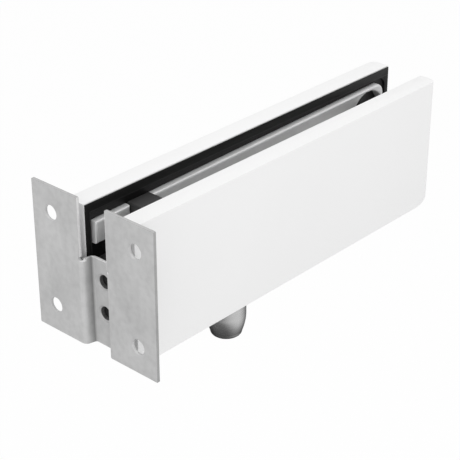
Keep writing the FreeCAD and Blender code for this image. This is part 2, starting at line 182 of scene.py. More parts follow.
# colour from the tone, roughness and fine bumps from the skin
def finishCoat(nodes, links, coat, tone, skin, look):
    links.new(tone, coat.inputs["Base Color"])
    links.new(spread(nodes, links, skin, *look["roughness"]), coat.inputs["Roughness"])
    bump = nodes.new("ShaderNodeBump")
    bump.inputs["Strength"].default_value = look["bumps"]
    bump.inputs["Distance"].default_value = look["bumpDepth"] * mm
    links.new(skin, bump.inputs["Height"])
    links.new(bump.outputs["Normal"], coat.inputs["Normal"])


# light

studio = {
    "skyLight": 0.74,
    "floorDrop": 0.36,                 # m below the pin
    "floorSize": 8.0,
    "floorWhite": 0.95,
    "floorRoughness": 0.9,
    "floorGlow": 0.95,                 # share of plain white that the camera sees
    "reflectedShadePlace": (-0.20, 0.14, 0),     # m, middle of a painted shade on the floor that only reflections in the metal show
    "reflectedShadeReach": (0.30, 0.80),         # m from its middle, where it starts and stops to fade
    "reflectedShadeDark": 0.15,
    "lampAim": (0.08, 0, 0),           # the middle of the fitting
}
lamps = {
    "topLamp": {"power": 5.6, "size": 1.4, "place": (0.0, -0.2, 1.3)},
    "frontLamp": {"power": 1.9, "size": 0.7, "place": (-0.45, -1.1, 0.3)},
}
floorPaper = {"metallic": 0, "specular": 0}
plainWhite = (1, 1, 1, 1)
mirrorRays = ("Is Camera Ray", "Is Glossy Ray", "Is Transmission Ray")


def makeWorld(look):
    world = bpy.data.worlds.new("studioSky")
    bpy.context.scene.world = world
    world.use_nodes = True
    nodes = world.node_tree.nodes
    links = world.node_tree.links
    nodes.clear()
    out = nodes.new("ShaderNodeOutputWorld")
    seen = nodes.new("ShaderNodeBackground")     # what the camera and the metals see
    lit = nodes.new("ShaderNodeBackground")      # what lights the fitting
    seen.inputs["Color"].default_value = plainWhite
    lit.inputs["Color"].default_value = plainWhite
    lit.inputs["Strength"].default_value = look["skyLight"]
    mix = nodes.new("ShaderNodeMixShader")
    links.new(rayShare(nodes, links, mirrorRays), mix.inputs["Fac"])
    links.new(lit.outputs["Background"], mix.inputs[1])
    links.new(seen.outputs["Background"], mix.inputs[2])
    links.new(mix.outputs["Shader"], out.inputs["Surface"])


def makeFloor(look):
    bpy.ops.object.select_all(action="DESELECT")
    low = cadBounds[0][2] - look["floorDrop"]
    bpy.ops.mesh.primitive_plane_add(size=look["floorSize"], location=(0, 0, low))
    floor = bpy.context.active_object
    floor.name = "studioFloor"
    paper, nodes, links, coat = startMaterial("floorPaper", floorPaper)
    white = look["floorWhite"]
    coat.inputs["Base Color"].default_value = (white, white, white, 1)
    coat.inputs["Roughness"].default_value = look["floorRoughness"]
    # painted shade on the floor under the fitting, seen only in reflections in the metal, so the
    # metal mirrors a darker room
    coord = nodes.new("ShaderNodeTexCoord")
    far = nodes.new("ShaderNodeVectorMath")
    far.operation = "DISTANCE"
    far.inputs[1].default_value = look["reflectedShadePlace"]
    links.new(coord.outputs["Object"], far.inputs[0])
    fade = spread(
        nodes, links, far.outputs["Value"], look["reflectedShadeDark"], 1, *look["reflectedShadeReach"], "SMOOTHSTEP"
    )
    tone = nodes.new("ShaderNodeMix")
    tone.data_type = "RGBA"
    tone.inputs[6].default_value = plainWhite
    links.new(rayShare(nodes, links, ("Is Glossy Ray",)), tone.inputs[0])
    links.new(fade, tone.inputs[7])
    glow = nodes.new("ShaderNodeEmission")
    links.new(tone.outputs[2], glow.inputs["Color"])
    share = rayShare(nodes, links, mirrorRays)
    mix = nodes.new("ShaderNodeMixShader")
    links.new(combine(nodes, links, "MULTIPLY", share, look["floorGlow"]), mix.inputs["Fac"])
    links.new(coat.outputs["BSDF"], mix.inputs[1])
    links.new(glow.outputs["Emission"], mix.inputs[2])
    links.new(mix.outputs["Shader"], nodes["Material Output"].inputs["Surface"])
    floor.data.materials.append(paper)


def makeLamp(name, look, aim):
    data = bpy.data.lights.new(name, "AREA")
    data.energy = look["power"]
    data.size = look["size"]
    lamp = bpy.data.objects.new(name, data)
    bpy.context.scene.collection.objects.link(lamp)
    lamp.location = look["place"]
    facing = Vector(aim) - Vector(look["place"])
    lamp.rotation_euler = facing.to_track_quat("-Z", "Y").to_euler()


makeCamera(camera)
makeWorld(studio)
makeFloor(studio)
for name, look in lamps.items():
    makeLamp(name, look, studio["lampAim"])
bpy.context.scene.view_settings.view_transform = "Standard"
print("stage: camera and light")


# materials: cloud and skin are the scale and detail of a wide and a fine noise, depths in mm

paint = {
    "shade": (0.905, 0.915), "roughness": (0.40, 0.48), "metallic": 0, "specular": 0.3,
    "cloud": (25, 3), "skin": (1400, 2), "bumps": 0.04, "bumpDepth": 0.02,    # faint orange peel
}
casting = {
    "shade": (0.77, 0.83), "roughness": (0.46, 0.56), "metallic": 0.35, "specular": 0.5,
    "cloud": (120, 4), "skin": (700, 5), "bumps": 0.22, "bumpDepth": 0.04,
}
blockMoulding = {
    "shade": (0.045, 0.054), "roughness": (0.5, 0.6), "metallic": 0, "specular": 0.35,
    "cloud": (40, 3), "skin": (2200, 3), "bumps": 0.2, "bumpDepth": 0.02,
}
screwMetal = {
    "metallic": 1, "specular": 0.5, "cloud": (160, 4), "skin": (900, 4), "bumps": 0.08,
    "bumpDepth": 0.02,
}
milledSteel = {**screwMetal, "shade": (0.40, 0.48), "roughness": (0.32, 0.42)}
blackedSteel = {
    **screwMetal, "shade": (0.014, 0.026), "roughness": (0.35, 0.45), "metallic": 0.5,
}
zincPlate = {**screwMetal, "shade": (0.52, 0.62), "roughness": (0.24, 0.36)}
springStrip = {**screwMetal, "shade": (0.30, 0.38), "roughness": (0.22, 0.32)}


def makePlain(name, look):
    material, nodes, links, coat = startMaterial(name, look)
    cloud = noiseOn(nodes, links, *look["cloud"])
    skin = noiseOn(nodes, links, *look["skin"])
    finishCoat(nodes, links, coat, spread(nodes, links, cloud, *look["shade"]), skin, look)
    return material


moulding = {
    "shade": (0.0080, 0.0110), "roughness": (0.42, 0.55), "metallic": 0, "specular": 0.18,
    "cloud": (40, 3), "skin": (2200, 3), "bumps": 0.12, "bumpDepth": 0.02,
    "rimTop": 3.4, "rimSide": 2.4, "rimHighlightWidth": 0.4, "rimHighlightGain": 3.2,
}


# black, with a painted highlight along the inner edge of the rim, along the top and at the wall
def makeMoulding(look):
    material, nodes, links, coat = startMaterial("blackMoulding", look)
    cloud = noiseOn(nodes, links, *look["cloud"])
    skin = noiseOn(nodes, links, *look["skin"])
    tone = spread(nodes, links, cloud, *look["shade"])
    place = placeOf(nodes, links)
    x, z = place["X"], place["Z"]
    width = look["rimHighlightWidth"] * mm
    topLine = coverHigh.z - look["rimTop"] * mm
    sideLine = wallEnd + look["rimSide"] * mm
    below = combine(nodes, links, "LESS_THAN", z, topLine)
    beyond = combine(nodes, links, "GREATER_THAN", x, sideLine)
    highlightSide = combine(nodes, links, "MULTIPLY", band(nodes, links, x, sideLine, width), below)
    highlightTop = combine(nodes, links, "MULTIPLY", band(nodes, links, z, topLine, width), beyond)
    rimHighlight = combine(nodes, links, "MAXIMUM", highlightTop, highlightSide)
    # painted highlight: thin lighter lines where the rim's edge would catch the light
    tone = gainWhere(nodes, links, tone, rimHighlight, look["rimHighlightGain"])
    finishCoat(nodes, links, coat, tone, skin, look)
    return material


sheet = {
    "shade": (0.59, 0.65), "roughness": (0.45, 0.55), "metallic": 0.15, "specular": 0.3,
    "cloud": (70, 4), "skin": (420, 4), "bumps": 0.06, "bumpDepth": 0.03,
    "mottle": 0.92, "fleckRange": (0.35, 0.6),
    "bend": (0.4, 3.6, 4.1), "bendShade": 0.42,           # mm behind the flanges' face
    "shearedHalf": 6.5, "shearedFrom": 5.0, "shearedHighlightGain": 1.5,
    "notchFrom": 5.2, "notchDrop": 0.85,                 # round the relief cuts
    "boreMiddle": 20.0, "boreApart": 6.0, "boreReach": 2.75, "boreFrom": 4.75, "boreShade": 0.2,
    "rimWidth": 0.1, "sideEdgeShade": 0.64, "topEdgeShade": 0.82,
}


# 1 in the two threaded bores of the bridge
def boredShare(nodes, links, x, y, z, look):
    upward = combine(nodes, links, "SUBTRACT", z, underside + look["boreMiddle"] * mm)
    upward = combine(nodes, links, "ABSOLUTE", upward, 0)
    upward = combine(nodes, links, "SUBTRACT", upward, look["boreApart"] * mm)
    reach = combine(
        nodes, links, "ADD",
        combine(nodes, links, "MULTIPLY", upward, upward), combine(nodes, links, "MULTIPLY", y, y),
    )
    nearAxis = combine(nodes, links, "LESS_THAN", reach, (look["boreReach"] * mm) ** 2)
    inside = combine(nodes, links, "GREATER_THAN", x, look["boreFrom"] * mm)
    return combine(nodes, links, "MULTIPLY", nearAxis, inside)


def makeSheet(look):
    material, nodes, links, coat = startMaterial("rolledSheet", look)
    cloud = noiseOn(nodes, links, *look["cloud"])
    flecks = noiseOn(nodes, links, *look["skin"])
    base = spread(nodes, links, cloud, *look["shade"])
    fleck = spread(nodes, links, flecks, look["mottle"], 1, *look["fleckRange"])
    tone = combine(nodes, links, "MULTIPLY", base, fleck)
    x, y, z = placeOf(nodes, links)
    # painted shade deep in the recess where the sheet is bent, darkest at the inner bend
    start, deep, end = [v * mm for v in look["bend"]]
    sinking = spread(nodes, links, x, 1, look["bendShade"], start, deep)
    rising = spread(nodes, links, x, look["bendShade"], 1, deep, end)
    recessShade = combine(nodes, links, "MAXIMUM", sinking, rising)
    tone = combine(nodes, links, "MULTIPLY", tone, recessShade)
    # and lighter where the notch between the ears was sheared out: partly the bare cut metal,
    # partly a painted highlight
    side = combine(nodes, links, "ABSOLUTE", y, 0)
    nearEnough = combine(nodes, links, "LESS_THAN", side, look["shearedHalf"] * mm)
    inNotch = combine(nodes, links, "GREATER_THAN", side, look["notchFrom"] * mm)
    drop = combine(nodes, links, "MULTIPLY", inNotch, look["notchDrop"] * mm)
    lowest = combine(nodes, links, "SUBTRACT", look["shearedFrom"] * mm, drop)
    highEnough = combine(nodes, links, "GREATER_THAN", z, lowest)
    shearedHighlight = combine(nodes, links, "MULTIPLY", nearEnough, highEnough)
    tone = gainWhere(nodes, links, tone, shearedHighlight, look["shearedHighlightGain"])
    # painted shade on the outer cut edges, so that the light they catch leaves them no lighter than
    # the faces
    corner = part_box("wall_anchor")[1]
    for value, limit, cutEdgeShade in (
        (side, corner.y, look["sideEdgeShade"]), (z, corner.z, look["topEdgeShade"]),
    ):
        onEdge = combine(nodes, links, "GREATER_THAN", value, limit - look["rimWidth"] * mm)
        tone = gainWhere(nodes, links, tone, onEdge, cutEdgeShade)
    # painted shade inside the threaded bores
    bored = boredShare(nodes, links, x, y, z, look)
    tone = gainWhere(nodes, links, tone, bored, look["boreShade"])
    finishCoat(nodes, links, coat, tone, flecks, look)
    return material


turned = {
    "shade": (0.53, 0.58), "roughness": (0.24, 0.29), "metallic": 1, "specular": 0.5,
    "skin": (60, 4, (0.4, 0.4, 60)), "bumps": 0.03, "bumpDepth": 0.01,    # rings of the tool
    "edgeBlend": 0.5, "edgeFrom": 0.35, "edgeTo": 0.90, "grazingShade": 0.45, "edgeTint": 0.35,
    "tipFrom": 1.0, "tipTo": 6.5, "tipShade": 0.6,                         # mm from the tip
}


def makeTurned(look):
    material, nodes, links, coat = startMaterial("turnedSteel", look)
    tint = look["edgeTint"]
    coat.inputs["Specular Tint"].default_value = (tint, tint, tint, 1)
    rings = noiseOn(nodes, links, *look["skin"])
    # painted shade and reflection: the steel is darker where it turns away from view, and towards
    # its rounded end
    side = nodes.new("ShaderNodeLayerWeight")
    side.inputs["Blend"].default_value = look["edgeBlend"]
    turn = spread(
        nodes, links, side.outputs["Facing"], 1, look["grazingShade"], look["edgeFrom"], look["edgeTo"]
    )
    height = placeOf(nodes, links)["Z"]
    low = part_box("pivot_pin")[0].z
    tip = spread(
        nodes, links, height, look["tipShade"], 1,
        low + look["tipFrom"] * mm, low + look["tipTo"] * mm,
    )
    shade = spread(nodes, links, rings, *look["shade"])
    tone = combine(nodes, links, "MULTIPLY", shade, combine(nodes, links, "MULTIPLY", turn, tip))
    finishCoat(nodes, links, coat, tone, rings, look)
    return material


finishes = {
    "white_cover": makePlain("whitePaint", paint),
    "black_carrier": makeMoulding(moulding),
    "black_block": makePlain("blockMoulding", blockMoulding),
    "cast_plate": makePlain("castMetal", casting),
    "sheet_steel": makeSheet(sheet),
    "pin_steel": makeTurned(turned),
    "pivot_steel": makePlain("milledSteel", milledSteel),
    "black_screw": makePlain("blackedSteel", blackedSteel),
    "zinc_screw": makePlain("zincPlate", zincPlate),
    "spring_steel": makePlain("springStrip", springStrip),
}
slotOfNode = {row["node"]: row["material_slot"] for row in frame["record"]["subparts"]}
bodyOfNode = {}
for bodyName, members in frame["record"]["behaviour"]["bodies"].items():
    for member in members:
        bodyOfNode[member] = bodyName
print("stage: materials", len(finishes))


# hand tools

up = Vector((0, 0, 1))
across = Vector((0, 1, 0))
lengthways = Vector((1, 0, 0))
weld = 0.002 * mm              # points nearer than this are one
touching = 0.01 * mm           # points this near a face lie on it
near = 0.1 * mm                # a wider reach, where nothing else is close
flat = math.radians(0.5)       # faces that meet at less are one
sharp = 0.3                    # radians between two faces at an edge that may be rounded
easedFrom = math.radians(50)   # the same for the small bevels
parallel = 0.99                # cosine between two directions that count as one
clear = 30.0                   # mm from the middle of the slot, outside the fitting


def clearSelection():
    if bpy.context.mode != "OBJECT":
        bpy.ops.object.mode_set(mode="OBJECT")
    bpy.ops.object.select_all(action="DESELECT")


def pick(piece):
    clearSelection()
    piece.select_set(True)
    bpy.context.view_layer.objects.active = piece


def settle(piece):
    pick(piece)
    bpy.ops.object.transform_apply(location=True, rotation=True, scale=True)


def addBlock(name, low, high):
    clearSelection()
    bpy.ops.mesh.primitive_cube_add(size=1, location=(low + high) / 2)
    block = bpy.context.active_object
    block.name = name
    block.scale = high - low
    settle(block)
    return block


def addRod(name, radius, start, end, sides=48, turn=0):
    clearSelection()
    axis = end - start
    facing = axis.to_track_quat("Z", "Y") @ Quaternion((0, 0, 1), math.radians(turn))
    bpy.ops.mesh.primitive_cylinder_add(
        vertices=sides, radius=radius * mm, depth=axis.length,
        location=(start + end) / 2, rotation=facing.to_euler(),
    )
    rod = bpy.context.active_object
    rod.name = name
    settle(rod)
    return rod


def openMesh(piece, mode):
    pick(piece)
    bpy.ops.object.mode_set(mode="EDIT")
    bpy.ops.mesh.select_mode(type=mode)
    bpy.ops.mesh.select_all(action="DESELECT")
    return bmesh.from_edit_mesh(piece.data)


def runs(along, direction):
    return abs(along.dot(direction)) > parallel


# rounds the edges whose middle and direction are wanted; flat seams between faces are left
def roundEdges(piece, wanted, radius, segments):
    mesh = openMesh(piece, "EDGE")
    for edge in mesh.edges:
        middle = (edge.verts[0].co + edge.verts[1].co) / 2
        along = (edge.verts[1].co - edge.verts[0].co).normalized()
        if wanted(middle, along) and edge.calc_face_angle(0) > sharp:
            edge.select_set(True)
    bmesh.update_edit_mesh(piece.data)
    bpy.ops.mesh.bevel(offset=radius * mm, segments=segments, affect="EDGES")
    clearSelection()


def cut(piece, cutters, operation="DIFFERENCE"):
    for cutter in cutters:
        pick(piece)
        cutting = piece.modifiers.new("cut", "BOOLEAN")
        cutting.operation = operation
        cutting.solver = "EXACT"
        cutting.object = cutter
        bpy.ops.object.modifier_apply(modifier=cutting.name)
        bpy.data.objects.remove(cutter)


def turnOutwards(piece):
    openMesh(piece, "FACE")
    bpy.ops.mesh.select_all(action="SELECT")
    bpy.ops.mesh.remove_doubles(threshold=weld)
    bpy.ops.mesh.normals_make_consistent(inside=False)
    clearSelection()


def tidyFaces(piece):
    openMesh(piece, "FACE")
    bpy.ops.mesh.select_all(action="SELECT")
    bpy.ops.mesh.remove_doubles(threshold=weld)
    bpy.ops.mesh.dissolve_limited(angle_limit=flat)
    clearSelection()


# a small bevel on every sharp edge
def easeEdges(piece, width, segments=2):
    pick(piece)
    ease = piece.modifiers.new("ease", "BEVEL")
    ease.width = width * mm
    ease.segments = segments
    ease.limit_method = "ANGLE"
    ease.angle_limit = easedFrom
    bpy.ops.object.modifier_apply(modifier=ease.name)


# one point, drawn on to the next along a line
def drawLine(name, points):
    clearSelection()
    bpy.ops.mesh.primitive_plane_add(size=mm)
    piece = bpy.context.active_object
    piece.name = name
    openMesh(piece, "VERT")
    bpy.ops.mesh.select_all(action="SELECT")
    bpy.ops.mesh.merge(type="CENTER")
    bpy.ops.transform.translate(value=points[0])
    for here, there in zip(points, points[1:]):
        bpy.ops.mesh.extrude_vertices_move(TRANSFORM_OT_translate={"value": there - here})
    return piece


# a profile of (radius, height) points in mm, spun about an axis; it starts and ends on the axis
def spinProfile(name, outline, centre, axis, steps=64):
    points = [Vector((radius * mm, 0, height * mm)) for radius, height in outline]
    piece = drawLine(name, points)
    bpy.ops.mesh.select_all(action="SELECT")
    bpy.ops.mesh.spin(steps=steps, angle=2 * math.pi, center=(0, 0, 0), axis=(0, 0, 1))
    turnOutwards(piece)
    piece.rotation_euler = axis.to_track_quat("Z", "Y").to_euler()
    piece.location = centre
    settle(piece)
    return piece


crest = (0.4, 0.6)             # where a ridge's flat top starts and ends, in pitches


# the ridges of a thread, from one height to another
def threadOutline(radius, start, end, pitch, depth):
    turns = max(1, int(abs(end - start) / pitch))
    step = (end - start) / turns
    outline = []
    for turn in range(turns):
        low = start + turn * step
        outline.append((radius - depth, low))
        outline += [(radius, low + step * share) for share in crest]
    outline.append((radius - depth, end))
    return outline


def copyPiece(piece, name, shift=(0, 0, 0), scale=(1, 1, 1)):
    twin = piece.copy()
    twin.data = piece.data.copy()
    twin.name = name
    bpy.context.scene.collection.objects.link(twin)
    twin.location = shift
    twin.scale = scale
    settle(twin)
    return twin


def mirrorPiece(piece, name):
    twin = copyPiece(piece, name, scale=(1, -1, 1))
    turnOutwards(twin)
    return twin


def dress(piece, node, smooth=35):
    pick(piece)
    bpy.ops.object.shade_smooth_by_angle(angle=math.radians(smooth))
    piece.data.materials.clear()
    piece.data.materials.append(finishes[slotOfNode[node]])
    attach(piece, bodyOfNode[node])
    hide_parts(node)


# white covers

covers = {
    "wall": 1.2, "cornerRadius": 3.2, "footRadius": 8.0, "edge": 0.22, "segments": 12,
}


def roundedBlock(name, low, high, cornerRadius, footRadius, segments):
    fromAbove = addBlock(name, low, high)
    roundEdges(
        fromAbove,
        lambda c, along: runs(along, up) and c.x > high.x - mm and c.y > high.y - mm,
        cornerRadius, segments,
    )
    fromTheSide = addBlock(name + "Side", low, high)
    roundEdges(
        fromTheSide,
        lambda c, along: runs(along, across) and c.x > high.x - mm and c.z < low.z + mm,
        footRadius, segments,
    )
    cut(fromAbove, [fromTheSide], "INTERSECT")
    return fromAbove


def makeCover(look):
    low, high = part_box("rear_cover")
    wall = look["wall"]
    inset = Vector((wall, 0, wall)) * mm
    back = Vector((0, wall * mm, 0))
    shell = roundedBlock(
        "rearCover", low, high, look["cornerRadius"], look["footRadius"], look["segments"]
    )
    hollow = roundedBlock(
        "hollow", low + inset - back, high - inset - back,
        look["cornerRadius"] - wall, look["footRadius"] - wall, look["segments"],
    )
    cut(shell, [hollow])
    tidyFaces(shell)
    easeEdges(shell, look["edge"], segments=3)
    return shell


rearCover = makeCover(covers)
frontCover = mirrorPiece(rearCover, "frontCover")
dress(rearCover, "rear_cover", smooth=50)
dress(frontCover, "front_cover", smooth=50)
print("stage: covers")


# black carriers and the blocks with bores keep their drawn form, with the edges eased

easing = {"rear_carrier": 0.14, "front_carrier": 0.14, "end_block": 0.25, "pivot_block": 0.3}
carrierFoot = {
    "rimStart": 5.0, "rimInset": 0.4, "rimBack": 7.8, "bodyInset": 1.4, "spare": 0.02,
    "sides": 96,
}


# the carriers turn the lower free corner inside the covers
def roundFoot(carrier, look, side):
    turn = covers["footRadius"]
    x = fittingLength - turn
    corners = []
    for inner, inset in (
        (look["rimStart"], look["rimInset"]),
        (look["rimBack"] + look["spare"], look["bodyInset"]),
    ):
        start, end = sorted((side * inner, side * clear))
        corner = addBlock("corner", at(x, start, -1), at(fittingLength + 1, end, turn))
        reach = turn - inset + look["spare"]
        rod = addRod(
            "turn", reach, at(x, start - 1, turn), at(x, end + 1, turn), sides=look["sides"]
        )
        cut(corner, [rod])
        corners.append(corner)
    cut(carrier, corners)


def easedCopy(node, width):
    source = frame["nodes"][node]
    words = node.split("_")
    piece = source.copy()
    piece.data = source.data.copy()
    piece.name = words[0] + "".join(word.capitalize() for word in words[1:])
    piece.parent = None
    bpy.context.scene.collection.objects.link(piece)
    tidyFaces(piece)
    if node.endswith("carrier"):
        roundFoot(piece, carrierFoot, 1 if node.startswith("rear") else -1)
        tidyFaces(piece)
    easeEdges(piece, width)
    dress(piece, node)


for node, width in easing.items():
    easedCopy(node, width)
print("stage: carriers and blocks")


# metal clamp plates

plate = {
    "start": 3.3, "topAtWall": 45.0, "slope": 0.75, "endRadius": 4.0,
    "edgeRadius": 1.0, "lugBottom": 36.8, "lugLength": 7.0, "windowTop": 29.5,
    "windowSide": 22.0, "slotStart": 19.1, "slotEnd": 30.0, "slotBottom": 23.7,
    "hole": (148.3, 36.3), "holeRadius": 9.7, "holeEdge": 0.35, "holeSides": 96,
    "screwHole": (100.0, 20.0), "screwHoleRadius": 3.3, "screwHoleSides": 40, "pinPlace": 59.5,
    "past": 5.0,                          # mm that the cutters start outside
}


def makePlate(look):
    low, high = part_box("rear_clamp_plate")
    body = addBlock("rearClampPlate", low, high + up * mm)
    # the top edge rises a little towards the free end
    lean = math.radians(look["slope"])
    openMesh(body, "FACE")
    bpy.ops.mesh.select_all(action="SELECT")
    bpy.ops.mesh.bisect(
        plane_co=at(look["start"], 0, look["topAtWall"]),
        plane_no=(-math.sin(lean), 0, math.cos(lean)),
        use_fill=True, clear_outer=True,
    )
    roundEdges(
        body, lambda c, along: runs(along, across) and c.x > high.x - mm,
        look["endRadius"], segments=8,
    )
    pin = look["pinPlace"]
    side = look["windowSide"]
    past = look["past"]
    lugEnd = look["start"] + look["lugLength"]
    cut(body, [
        addBlock("window", at(pin - side, 0, -past), at(pin + side, clear, look["windowTop"])),
        addBlock("underLug", at(-past, 0, -past), at(lugEnd, clear, look["lugBottom"])),
        addBlock(
            "blockSlot", at(look["slotStart"], 0, look["slotBottom"]),
            at(look["slotEnd"], clear, fittingHeight),
        ),
    ])
    tidyFaces(body)
    # the face that grips the glass has rounded edges, and so has its big hole
    face = low.y + touching
    roundEdges(body, lambda c, along: c.y < face, look["edgeRadius"], segments=5)
    x, z = look["hole"]
    u, w = look["screwHole"]
    cut(body, [
        addRod("bigHole", look["holeRadius"], at(x, 0, z), at(x, clear, z), look["holeSides"]),
        addRod(
            "screwHole", look["screwHoleRadius"], at(u, 0, w), at(u, clear, w),
            look["screwHoleSides"],
        ),
    ])
    tidyFaces(body)
    middle = at(x, 0, z)
    rim = look["holeRadius"] * mm + near
    roundEdges(
        body, lambda c, along: c.y < face and (c - middle).xz.length < rim,
        look["holeEdge"], segments=3,
    )
    return body


rearPlate = makePlate(plate)
frontPlate = mirrorPiece(rearPlate, "frontClampPlate")
dress(rearPlate, "rear_clamp_plate", smooth=40)
dress(frontPlate, "front_clamp_plate", smooth=40)
print("stage: clamp plates")


# black block across the slot

spacer = {
    "clampHole": (24.55, 36.0), "clampRadius": 3.3, "clampSides": 40, "edge": 0.3, "topEdge": 0.5,
}


def makeSpacer(look):
    low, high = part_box("spacer_block")
    block = addBlock("spacerBlock", low, high)
    x, z = look["clampHole"]
    roundEdges(block, lambda c, along: c.z > high.z - near, look["topEdge"], segments=3)
    start, end = at(x, -clear, z), at(x, clear, z)
    cut(block, [addRod("bore", look["clampRadius"], start, end, look["clampSides"])])
    tidyFaces(block)
    easeEdges(block, look["edge"])
    dress(block, "spacer_block")


makeSpacer(spacer)
print("stage: spacer block")


# wall anchor, folded from sheet

anchor = {
    "sheet": 1.0, "bridge": 0.2, "bendOut": 5.6, "bendIn": 4.7,
    "outerSetback": 1.6, "innerSetback": 0.8,
    "bridgeTop": 34.0, "gapHalf": 6.4, "relief": 0.8, "cornerRadius": 0.3,
    "fixingAcross": 39.2, "fixingUp": 35.0, "fixingRadius": 2.7,
    "threadHeights": (14.0, 26.0), "threadRadius": 2.5, "mouth": 0.6,
    "collarRadius": 3.8, "collarLength": 1.8, "edge": 0.08, "pressedRim": 0.3,
    "reliefPast": 0.5, "reliefSides": 24, "bendReach": 10.0, "flangeReach": 2.0,
    "pitch": 0.6, "threadDepth": 0.25, "threadEnd": 2.6, "lead": 0.2,
}


def foldSheet(look, stand, half, bottom):
    # the front line of the sheet, seen from above
    line = (
        (stand, half), (stand, look["bendOut"]), (look["bridge"], look["bendIn"]),
        (look["bridge"], -look["bendIn"]), (stand, -look["bendOut"]), (stand, -half),
    )
    hat = drawLine("wallAnchor", [at(x, y, bottom) for x, y in line])
    bpy.ops.mesh.select_all(action="SELECT")
    rise = (look["bridgeTop"] - bottom) * mm
    bpy.ops.mesh.extrude_edges_move(TRANSFORM_OT_translate={"value": (0, 0, rise)})
    turnOutwards(hat)
    bendReach = look["bendReach"] * mm
    roundEdges(
        hat, lambda c, along: runs(along, up) and c.x < near and abs(c.y) < bendReach,
        look["outerSetback"], segments=8,
    )
    roundEdges(
        hat, lambda c, along: runs(along, up) and c.x > wallEnd, look["innerSetback"], segments=8
    )
    facing = hat.data.polygons[0].normal.x     # the sheet grows away from the wall
    thick = hat.modifiers.new("thick", "SOLIDIFY")
    thick.thickness = look["sheet"] * mm
    thick.offset = 1 if facing > 0 else -1
    thick.use_even_offset = True
    pick(hat)
    bpy.ops.object.modifier_apply(modifier=thick.name)
    return hat


# two holes through each flange and a relief cut at the foot of each ear
def cutFlanges(hat, look, stand, back, middle):
    tools = []
    for side in (-1, 1):
        y = side * look["gapHalf"]
        z = look["bridgeTop"]
        tools.append(addRod(
            "relief", look["relief"], at(stand - 1, y, z), at(back + look["reliefPast"], y, z),
            look["reliefSides"],
        ))
        y = side * look["fixingAcross"] / 2
        for end in (-1, 1):
            z = middle + end * look["fixingUp"] / 2
            start, stop = at(stand - 1, y, z), at(back + 1, y, z)
            tools.append(addRod("fixing", look["fixingRadius"], start, stop))
    cut(hat, tools)


# drawn collars with threads behind the bridge
def drawCollars(hat, look):
    bridgeBack = look["bridge"] + look["sheet"]
    root = bridgeBack - look["sheet"] / 2
    end = bridgeBack + look["collarLength"]
    reach = look["threadRadius"]
    mouth = look["mouth"]
    outline = [(0, -1), (reach + mouth, -1), (reach + mouth, 0), (reach, mouth)]
    outline += threadOutline(
        reach, mouth + look["lead"], look["threadEnd"], look["pitch"], -look["threadDepth"]
    )
    outline += [(reach, end + 1), (0, end + 1)]
    for z in look["threadHeights"]:
        collar = addRod("collar", look["collarRadius"], at(root, 0, z), at(end, 0, z))
        cut(hat, [collar], "UNION")
        bore = spinProfile("bore", outline, at(look["bridge"], 0, z), lengthways, steps=48)
        cut(hat, [bore])


def makeAnchor(look):
    low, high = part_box("wall_anchor")
    half = high.y / mm
    stand = -wallEnd / mm
    back = stand + look["sheet"]
    bottom = (low.z - underside) / mm
    top = (high.z - underside) / mm
    middle = (bottom + top) / 2
    hat = foldSheet(look, stand, half, bottom)
    foot = look["bridgeTop"] - look["sheet"] / 2
    cut(hat, [
        addBlock("ear", at(stand, look["gapHalf"], foot), at(back, half, top)),
        addBlock("ear", at(stand, -half, foot), at(back, -look["gapHalf"], top)),
    ], "UNION")
    cutFlanges(hat, look, stand, back, middle)
    drawCollars(hat, look)
    tidyFaces(hat)
    flangeReach = look["flangeReach"] * mm
    roundEdges(
        hat,
        lambda c, along: runs(along, lengthways) and c.x < flangeReach
        and (c.z > high.z - near or (c.z < low.z + near and abs(c.y) > high.y - mm)),
        look["cornerRadius"], segments=4,
    )
    # the fixing holes are pressed from the front, which leaves a rounded rim
    reach = look["fixingRadius"] * mm + near
    sideways = look["fixingAcross"] / 2 * mm
    upwards = look["fixingUp"] / 2 * mm
    centre = at(0, 0, middle).z
    roundEdges(
        hat,
        lambda c, along: c.x < touching
        and math.hypot(abs(c.y) - sideways, abs(c.z - centre) - upwards) < reach,
        look["pressedRim"], segments=3,
    )
    easeEdges(hat, look["edge"])
    dress(hat, "wall_anchor", smooth=40)


makeAnchor(anchor)
print("stage: wall anchor")


# pivot pin

pivotPin = {
    "place": 59.5, "radius": 7.4, "length": 20.6, "straight": 11.5, "endRadius": 6.0,
    "noseRadius": 1.6, "neck": 7.0, "neckLength": 0.4, "shoulder": 4.0,
    "spigotRadius": 5.0, "spigotLength": 16.0, "spigotChamfer": 0.5, "neckChamfer": 0.15,
    "barrelShare": 0.28,               # of the draw, done half way down the barrel
    "barrelSteps": 12, "noseSteps": 8, "steps": 96,
}


